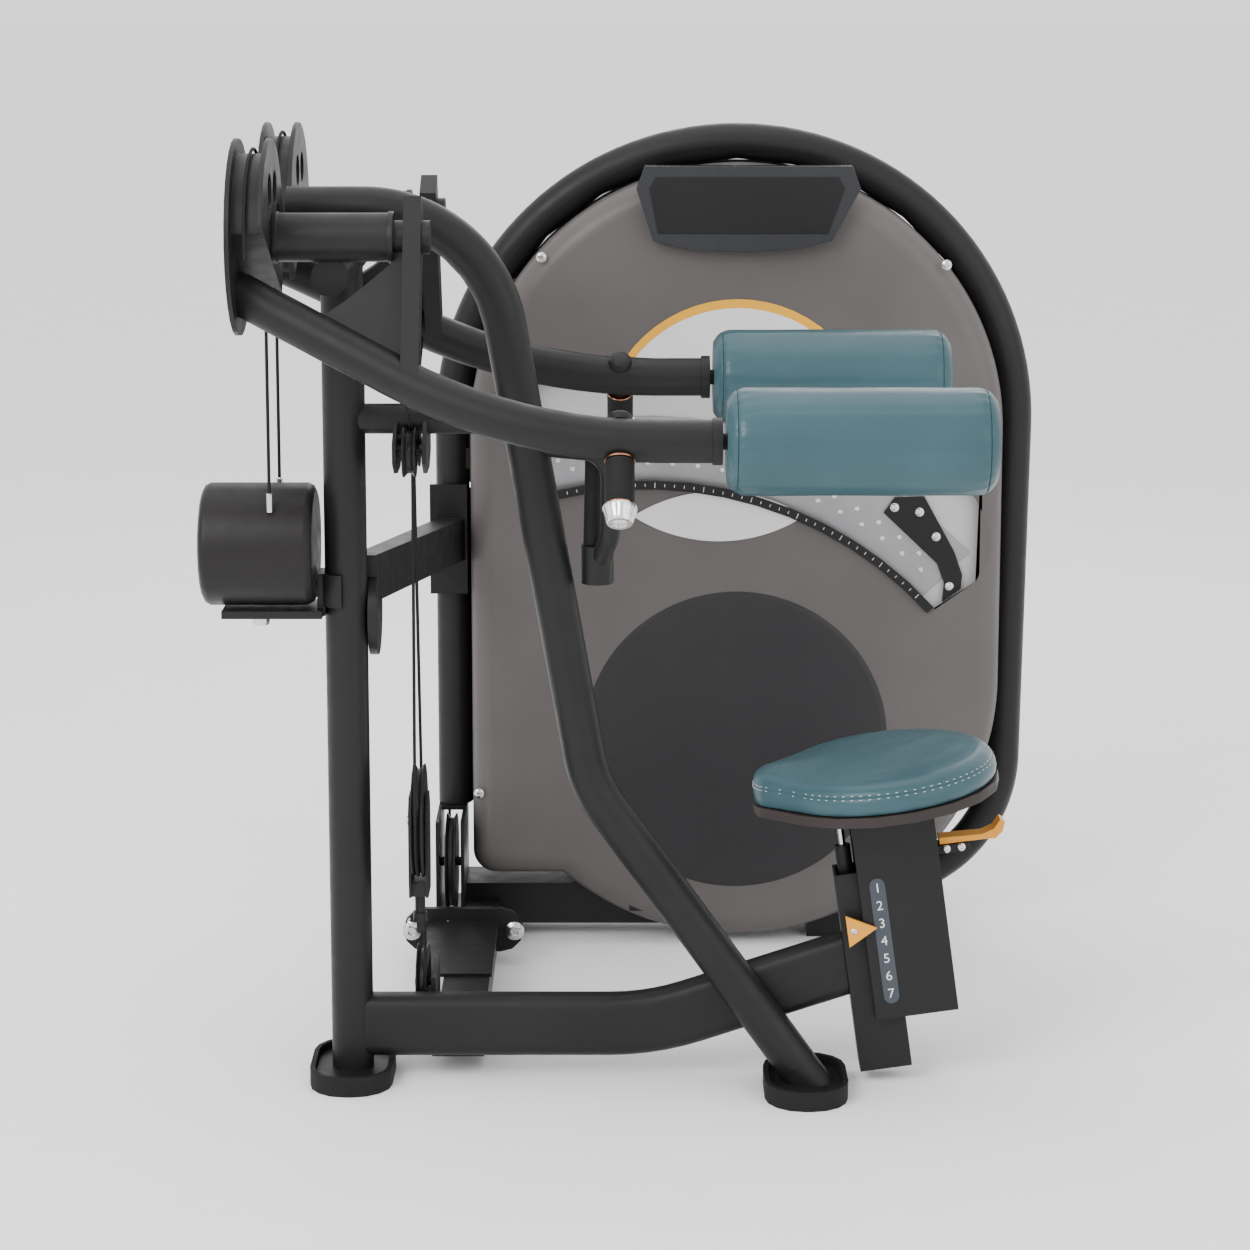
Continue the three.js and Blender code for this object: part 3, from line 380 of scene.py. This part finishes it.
for side in (-1, 1):
    name = "left" if side < 0 else "right"
    body = name + "_arm_body"
    place = arm_place(side) @ Matrix.Translation((0, ARM_REACH, 0))
    pad = lathe(name + "_roller_cover", pad_profile(), place, "vinyl", name + "_pad_body", 96,
                pad_ripple)
    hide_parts(name + "_roller_pad")
    lathe(name + "_pad_washer", [(PAD_END + 0.5, 26), (PAD_END + 3, 25), (PAD_END + 4, 14)], place,
          "nylon", body, 32)
    handle = (arm_place(side) @ Matrix.Translation((HANDLE_X, ARM_REACH, 0))
              @ Matrix.Rotation(side * HANDLE_LEAN, 4, "X") @ Matrix.Rotation(math.pi / 2, 4, "Z"))
    rubber = [(32, 17), (33, 20.6)]
    for k in range(13):
        rubber += [(35 + 5 * k, 20.8), (37 + 5 * k, 20.2)]
    grip = lathe(name + "_grip_sleeve", rubber + [(99, 20.4), (99.6, 17)], handle, "black_rubber",
                 body)
    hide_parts(name + "_grip")
    for low in (29, 99.8):
        lathe(f"{name}_ring_{round(low)}", [(low, 19), (low + 0.4, 21.8), (low + 2.6, 21.8),
                                            (low + 3, 19)], handle, "copper", body)
    cap = lathe(name + "_cap_turned", [(103, 20), (103, 24), (105, 24.6), (110, 23.4), (121, 20),
                                       (126, 18.6), (128, 17.4), (128, 12.6), (121, 11.5)],
                handle, "grip_metal", body, 96, cap_flutes)
    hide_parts(name + "_grip_cap")
    dome = [(-44, 4), (-43.5, 9), (-42, 14), (-39, 17.5), (-36, 18.4), (-29, 18.4)]
    lathe(name + "_handle_dome", dome, handle, "frame_paint", body, 32)
    pivot = arm_place(side)
    for x in (-494.7, -331):
        lathe(f"{name}_collar_{round(-x)}", [(x, 30), (x, 36.5), (x + 1, 37), (x + 7, 37),
                                             (x + 8, 36)], pivot, "frame_paint", "root")
    screw(name + "_shaft_screw", -548, side * PIVOT_Y, PIVOT_Z, 12, (-1, 0, 0), body)


# ---------------------------------------------------------------- seat
def seat_ring(scale, w, steps=22):
    """The teardrop outline of the cushion, nose towards -x, shrunk on its own spine."""
    nose_u, nose_r, rear_u, rear_r = -86, 58, 57, 168
    tilt = math.degrees(math.acos((nose_r - rear_r) / (rear_u - nose_u)))
    rear = arc(rear_u, 0, rear_r * scale, -tilt, tilt, steps * 2)
    nose = arc(nose_u, 0, nose_r * scale, tilt, 360 - tilt, steps)
    sides = 6
    up = [(rear[-1][0] + (nose[0][0] - rear[-1][0]) * k / sides,
           rear[-1][1] + (nose[0][1] - rear[-1][1]) * k / sides) for k in range(1, sides)]
    down = [(x, -y) for x, y in reversed(up)]
    return [(x, y, w) for x, y in rear + up + nose + down]


def seat_cushion():
    """The crowned cushion, from its underside up its side, over the seam groove to the top."""
    levels = [(0.95, 439.4), (0.985, 441), (1.005, 446), (1.015, 453), (1.012, 460), (1.0, 465.5),
              (0.992, 467.5), (0.984, 468.3), (0.986, 469.6), (0.978, 473), (0.955, 478),
              (0.915, 482.5), (0.85, 486), (0.74, 489), (0.58, 491.5), (0.4, 493), (0.2, 494),
              (0.05, 494.3)]
    bm = bmesh.new()
    rings = [[bm.verts.new(p) for p in seat_ring(scale, w)] for scale, w in levels]
    for a, b in zip(rings, rings[1:]):
        for k in range(len(a)):
            n = (k + 1) % len(a)
            bm.faces.new((a[k], a[n], b[n], b[k]))
    bm.faces.new(rings[0])
    bm.faces.new(rings[-1])
    return piece("seat_cover", bm, SEAT, "vinyl", "seat_body")


cover = seat_cushion()
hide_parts("seat_cushion")
for row, (scale, w) in enumerate(((1.0, 466.2), (0.9815, 471.6))):
    ring = [Vector(p) for p in seat_ring(scale * 1.002, w, 60)]
    bm = bmesh.new()
    for a, b in list(zip(ring, ring[1:]))[::2]:
        along = (b - a).normalized()
        turn = Vector((1, 0, 0)).rotation_difference(along).to_matrix().to_4x4()
        size = Matrix.Diagonal((min(4.5, (b - a).length * 0.8), 0.9, 0.9, 1))
        bmesh.ops.create_icosphere(bm, subdivisions=1, radius=0.6,
                                   matrix=Matrix.Translation((a + b) / 2) @ turn @ size)
    piece(f"seat_stitches_{row}", bm, SEAT, "pale_print", "seat_body")

scale_plate = arc(22, 296, 12, 0, 180, 12) + arc(22, 120, 12, 180, 360, 12)
prism("seat_scale", scale_plate, -45.2, -44.02, SEAT, "scale_grey", "seat_body")
for number in range(1, 8):
    text = bpy.data.curves.new(f"scale_digit_{number}", "FONT")
    text.body = str(number)
    text.size = 21
    text.extrude = 0.25
    text.align_x = "CENTER"
    text.align_y = "CENTER"
    digit = bpy.data.objects.new(text.name, text)
    bpy.context.scene.collection.objects.link(digit)
    text.materials.append(MATS["pale_print"])
    spot = Matrix.Translation((22, -45.3, SCALE_TOP - DIGIT_STEP * (number - 1)))
    digit.matrix_world = SEAT @ spot @ Matrix.Rotation(math.pi / 2, 4, "X")
    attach(digit, "seat_body")
screw("pointer_screw", -22, -52, 232, 5, (0, -1, 0), "root", SEAT)
for u in (135, 158):
    screw(f"lever_screw_{u}", u, -17, 331, 6.5, (0, -1, 0), "seat_body", SEAT)
lathe("strut_nut", [(412, 6), (412, 11), (414.4, 11), (414.4, 6)],
      SEAT @ Matrix.Translation((-21, 0, 0)) @ Matrix.Rotation(-math.pi / 2, 4, "Y"),
      "bright_steel", "seat_body", 6)


# ---------------------------------------------------------------- shrouds
def shroud_outline(inset):
    """A shroud's outline: a half round above, a tight corner and a wide round below it."""
    r = SHROUD_R - inset
    bottom = CORNER_Z + inset
    meet = math.degrees(math.asin((LOW_Z - bottom) / r))
    return (arc(SHROUD_X, HEAD_Z, r, 0, 180, 72)
            + arc(SHROUD_X - r + CORNER_R, bottom + CORNER_R, CORNER_R, 180, 270, 10)
            + arc(SHROUD_X, LOW_Z, r, 180 + meet, 360, 60))


def window_outline(grow=0):
    """The window between two arcs about the swing's centre, with its blunt right end."""
    return (swing_arc(666 - grow, 106, 41.5, 40) + [(606 + grow, 650), (626 + grow, 690),
            (628 + grow, 719), (626 + grow, 745), (615 + grow, 772)]
            + swing_arc(850 + grow, 48.5, 103, 40))


def over_base(point):
    """Whether a point lies where the shroud is open above the tower's base."""
    return point.z < 99 and -330 < point.x < 480 and 676 < point.y < 862


def shroud_wall(name, face_y, inward):
    """The quarter-round edge and the straight wall, as a thin skin."""
    turns = [math.pi / 2 * k / 10 for k in range(11)]
    outer = [(SHROUD_EDGE * (1 - math.sin(t)), SHROUD_EDGE * (1 - math.cos(t))) for t in turns]
    outer.append((0, SHROUD_DEPTH))
    inner = [(inset + SHROUD_SKIN, depth + (SHROUD_SKIN if depth < SHROUD_DEPTH else 0))
             for inset, depth in reversed(outer)]
    bm = bmesh.new()
    made = [[bm.verts.new((x, face_y + inward * depth, z)) for x, z in shroud_outline(inset)]
            for inset, depth in outer + inner]
    made.append(made[0])
    for a, b in zip(made, made[1:]):
        for i in range(len(a)):
            n = (i + 1) % len(a)
            bm.faces.new((a[i], a[n], b[n], b[i]))
    bmesh.ops.delete(bm, geom=[f for f in bm.faces if over_base(f.calc_center_median())],
                     context="FACES")
    return piece(name, bm, DESIGN, "shroud_plastic", "root")


def shroud_face(name, face_y, inward, with_window):
    """The flat front of a shroud, filled around its window."""
    bm = bmesh.new()
    loops = [shroud_outline(SHROUD_EDGE - 0.2)] + ([window_outline()] if with_window else [])
    edges = []
    for loop in loops:
        verts = [bm.verts.new((x, face_y, z)) for x, z in loop]
        edges += [bm.edges.new((verts[i], verts[(i + 1) % len(verts)])) for i in range(len(verts))]
    bmesh.ops.triangle_fill(bm, use_beauty=True, edges=edges)
    solid = bmesh.ops.extrude_face_region(bm, geom=bm.faces[:])
    moved = [g for g in solid["geom"] if isinstance(g, bmesh.types.BMVert)]
    bmesh.ops.translate(bm, verts=moved, vec=(0, inward * SHROUD_SKIN, 0))
    return piece(name, bm, DESIGN, "shroud_plastic", "root", smooth=False)


front_wall = shroud_wall("front_shroud_edge", SHROUD_FRONT, 1)
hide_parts("front_shroud")
shroud_face("front_shroud_face", SHROUD_FRONT, 1, True)
rear_wall = shroud_wall("rear_shroud_edge", SHROUD_BACK, -1)
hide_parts("rear_shroud")
shroud_face("rear_shroud_face", SHROUD_BACK, -1, False)
facing = Matrix.Rotation(-math.pi / 2, 4, "Z")
disc_place = DESIGN @ Matrix.Translation((196, SHROUD_FRONT, 371)) @ facing
lathe("shroud_disc", [(0.1, 262), (2.5, 259), (3.4, 252), (4, 200), (4.6, 100), (4.8, 5)],
      disc_place, "shroud_dark", "root", 120)
prism("window_liner", window_outline(8), 655, 656.4, DESIGN, "liner", "root")

placard = [(5, 1009)] + arc(196, 905, 232, 145, 35, 18) + [(387, 1009)]
prism("placard_border", placard, 634.4, 635.8, DESIGN, "yellow_print", "root")
inner = [(16, 1014)] + arc(196, 900, 222, 143, 37, 18) + [(376, 1014)]
prism("placard_field", inner, 633.6, 634.5, DESIGN, "pale_print", "root")
lens = arc(165, 541.2, 266.8, 123, 57, 24) + arc(165, 987.8, 266.8, -57.2, -122.8, 24)
prism("blank_badge", lens, 634, 635.8, DESIGN, "pale_print", "root")
raised = [(60, 1250), (345, 1250), (372, 1325), (362, 1345), (56, 1345), (46, 1325)]
prism("housing_panel", raised, 603.6, 606, DESIGN, "nylon", "root", 0.001)

for k in range(HOLE_COUNT):
    for row, radius in enumerate(HOLE_ROWS):
        x, z = swing_arc(radius, HOLE_START + HOLE_STEP * k + row * 1.75, 0, 1)[0]
        lathe(f"index_hole_{k}_{row}", [(0, 4.3), (0.7, 4.2), (0.9, 3.2), (0.3, 3)],
              DESIGN @ Matrix.Translation((x, 652, z)) @ facing, "bright_steel", "root", 14)
ticks = bmesh.new()
for k in range(TICK_COUNT):
    angle = TICK_START + TICK_STEP * k
    x, z = swing_arc(TICK_R, angle, 0, 1)[0]
    length = 9 if k % 5 == 0 else 5
    turn = Matrix.Rotation(-math.radians(angle), 4, "Y")
    size = Matrix.Diagonal((length, 0.4, 1.0, 1))
    bmesh.ops.create_cube(ticks, size=1, matrix=Matrix.Translation((x, 627.9, z)) @ turn @ size)
piece("sill_ticks", ticks, DESIGN, "pale_print", "root", smooth=False)

for k, (x, z) in enumerate(((-136, 1208), (547, 1195), (-248, 276))):
    screw(f"shroud_screw_{k}", x, SHROUD_FRONT, z, 9, (0, -1, 0), "root")
for k, (x, z) in enumerate(((466, 778), (509, 770), (538, 727), (562, 640))):
    screw(f"bracket_screw_{k}", x, 646, z, 8, (0, -1, 0), "root")
for x in (-360, -184):
    screw(f"link_bolt_{x}", x, 540, 60, 17, (0, -1, 0), "root")
lathe("counterweight_bolt", [(716, 6), (716, 12), (722, 13), (728, 13), (728, 17), (732.8, 17)],
      DESIGN @ Matrix.Translation((-545, 0, 0)) @ Matrix.Rotation(-math.pi / 2, 4, "Y"),
      "bright_steel", "counterweight", 24)
for k, z in enumerate((400, 235)):
    screw(f"block_screw_{k}", -327.5, 33, z, 8, (-1, 0, 0), "block_body")

# ---------------------------------------------------------------- load selector
def knob_flutes(along, angle):
    """The flutes round the selector's knob."""
    return 0.8 * math.sin(angle * 10) if 2 < along < 20 else 0


turned_up = (DESIGN @ Matrix.Translation((SWING_X, 0, SWING_Z))
             @ Matrix.Rotation(SELECTOR_ANGLE, 4, "Y"))
lug = [(-15, 676), (15, 676), (17, 730), (12, 735), (-12, 735), (-17, 730)]
cursor = prism("selector_lug", lug, 620.2, 626.8, turned_up, "yellow_plastic", "selector_body",
               0.0015)
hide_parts("load_selector")
lathe("selector_knob", [(0.2, 12), (0.8, 15), (4, 18), (16, 17), (22, 12), (28.8, 10)],
      turned_up @ Matrix.Translation((0, 592, 703)) @ Matrix.Rotation(math.pi / 2, 4, "Z"),
      "black_rubber", "selector_body", 80, knob_flutes)


# ---------------------------------------------------------------- cables
def cable_runs(stops):
    """Runs of a line over wheels in a plane: stops are (across, up, radius, turn).

    The runs alternate, from a straight one to an arc, and end with a straight one."""
    angles = []
    for a, b in zip(stops, stops[1:]):
        span = math.hypot(b[0] - a[0], b[1] - a[1])
        lean = math.asin((b[3] * b[2] - a[3] * a[2]) / span)
        angles.append(math.atan2(b[1] - a[1], b[0] - a[0]) - lean)

    def touch(stop, angle):
        return (stop[0] + stop[3] * stop[2] * math.sin(angle),
                stop[1] - stop[3] * stop[2] * math.cos(angle))

    runs = []
    for i, angle in enumerate(angles):
        a, b = touch(stops[i], angle), touch(stops[i + 1], angle)
        runs.append([(a[0] + (b[0] - a[0]) * k / 24, a[1] + (b[1] - a[1]) * k / 24)
                     for k in range(25)])
        if i + 1 < len(angles):
            swing = angles[i + 1] - angle
            while stops[i + 1][3] * swing < 0:
                swing += stops[i + 1][3] * 2 * math.pi
            runs.append([touch(stops[i + 1], angle + swing * k / 20) for k in range(21)])
    return runs


def cable(name, runs, to_point, riders):
    """One cable, as a tube for each run. Returns the first tube.

    A rider is a body, or (body, other, end): such a run is drawn as one straight tube between its first
    and last points, and rides on no body."""
    made = []
    for k, (run, rider) in enumerate(zip(runs, riders)):
        rides = isinstance(rider, str)
        points = [to_point(*p) for p in (run if rides else (run[0], run[-1]))]
        part = tube(f"{name}_{k}", points, CABLE_R, DESIGN, "black_rubber",
                    rider if rides else None, CABLE_SIDES)
        if not rides:
            ends = [DESIGN @ points[0], DESIGN @ points[-1]]
            if rider[2] == "last":
                ends.reverse()
            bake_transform(part)
        made.append(part)
    return made[0]


def across_frame(x):
    """Places a cable's (across, up) points in the plane at x."""
    return lambda across, up: Vector((x, across, up))


def along_tower(across, up):
    """Places a cable's (across, up) points in the tower's plane."""
    return Vector((across, TOWER_Y, up))


for side in (-1, 1):
    name = "left" if side < 0 else "right"
    arm = name + "_arm_body"
    runs = cable_runs([(side * (PIVOT_Y + BALANCE_R), PIVOT_Z - 20, 0, 1),
                       (side * PIVOT_Y, PIVOT_Z, BALANCE_R, side),
                       (side * (PIVOT_Y - BALANCE_R), BALANCE_END_Z, 0, 1)])
    # The half of the wrap nearer the anchor turns with the cam, and winds over the other half.
    middle = len(runs[1]) // 2
    wound, fixed = runs[1][:middle + 1], runs[1][middle:]
    line = cable(name + "_balance_line", [runs[0], wound, fixed, runs[2]], across_frame(BALANCE_X),
                 [arm, arm, "root", ("root", "counterweight", "first")])
    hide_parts(name + "_balance_cable")
    foot = Matrix.Translation((BALANCE_X, side * (PIVOT_Y - BALANCE_R), BALANCE_END_Z - 2))
    lathe(name + "_balance_ferrule", [(0, 3), (0, 5), (26, 5), (28, 3)],
          DESIGN @ foot @ Matrix.Rotation(-math.pi / 2, 4, "Y"), "bright_steel", "counterweight", 18)

anchor_out = (PIVOT_Y + CAM_ANCHOR_OUT * math.sin(ARM_LEAN) - CAM_ANCHOR_IN * math.cos(ARM_LEAN))
anchor_up = (PIVOT_Z - CAM_ANCHOR_OUT * math.cos(ARM_LEAN) - CAM_ANCHOR_IN * math.sin(ARM_LEAN))
guide_y, guide_z, guide_r = GUIDE_WHEEL
runs = cable_runs([(-anchor_out, anchor_up, 0, 1), (-guide_y, guide_z, guide_r, -1),
                   (*FLOATING_WHEEL, 1), (guide_y, guide_z, guide_r, -1),
                   (anchor_out, anchor_up, 0, 1)])
line = cable("equaliser_line", runs, across_frame(EQUALISER_X),
             [("root", "left_arm_body", "last"), "root", ("root", "block_body", "first"),
              "block_body", ("root", "block_body", "last"), "root",
              ("root", "right_arm_body", "first")])
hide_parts("equaliser_cable")

runs = cable_runs([(33, 221.5, 0, 1), (*BASE_WHEEL, 1), (*LOW_WHEEL, 1), (TOWER_Y, 790, 0, 1)])
line = cable("lift_line", runs, across_frame(LIFT_X),
             [("root", "block_body", "last")] + ["root"] * 4)
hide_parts("lift_cable")

anchor = (SWING_X + PACK_ANCHOR_R * math.cos(PACK_ANCHOR_ANGLE),
          SWING_Z + PACK_ANCHOR_R * math.sin(PACK_ANCHOR_ANGLE))
runs = cable_runs([(-297, 790, 0, 1), (*TOP_WHEEL, -1), (*anchor, 0, 1)])
cable("pack_line", runs, along_tower, ["root", "root", ("root", "weight_pack", "first")])

# ---------------------------------------------------------------- camera, light and floor
camera = bpy.data.objects.new("camera", bpy.data.cameras.new("camera"))
bpy.context.scene.collection.objects.link(camera)
camera.location = DESIGN @ Vector((0, -4660, 1741))
camera.rotation_euler = (math.radians(90 - LOOK_DOWN), 0, 0)
camera.data.lens = 90.8
camera.data.shift_x = 0.0024
camera.data.shift_y = -0.12
bpy.context.scene.camera = camera

bpy.ops.mesh.primitive_plane_add(size=120)
floor = bpy.context.object
floor.name = "floor"
floor.data.materials.append(material("floor_paper", (0.95, 0.95, 0.95), 0.9, 0, 60, 0.02, 0.01))
for name, spot, size, power in (("key", (-2.6, -3.6, 3.6), 2.6, 170), ("fill", (3.4, -3.2, 2.2), 3, 40),
                                ("top", (0, 0, 4.2), 3, 40), ("back", (0.5, 3.5, 3), 2.5, 30)):
    lamp = bpy.data.objects.new(name, bpy.data.lights.new(name, "AREA"))
    lamp.data.size = size
    lamp.data.energy = power
    lamp.location = spot
    lamp.rotation_euler = (Vector((0, 0, 0.7)) - Vector(spot)).to_track_quat("-Z", "Y").to_euler()
    bpy.context.scene.collection.objects.link(lamp)
world = bpy.data.worlds.new("studio")
world.use_nodes = True
world.node_tree.nodes["Background"].inputs["Color"].default_value = (1, 1, 1, 1)
world.node_tree.nodes["Background"].inputs["Strength"].default_value = 1.5
bpy.context.scene.world = world

bpy.context.view_layer.update()
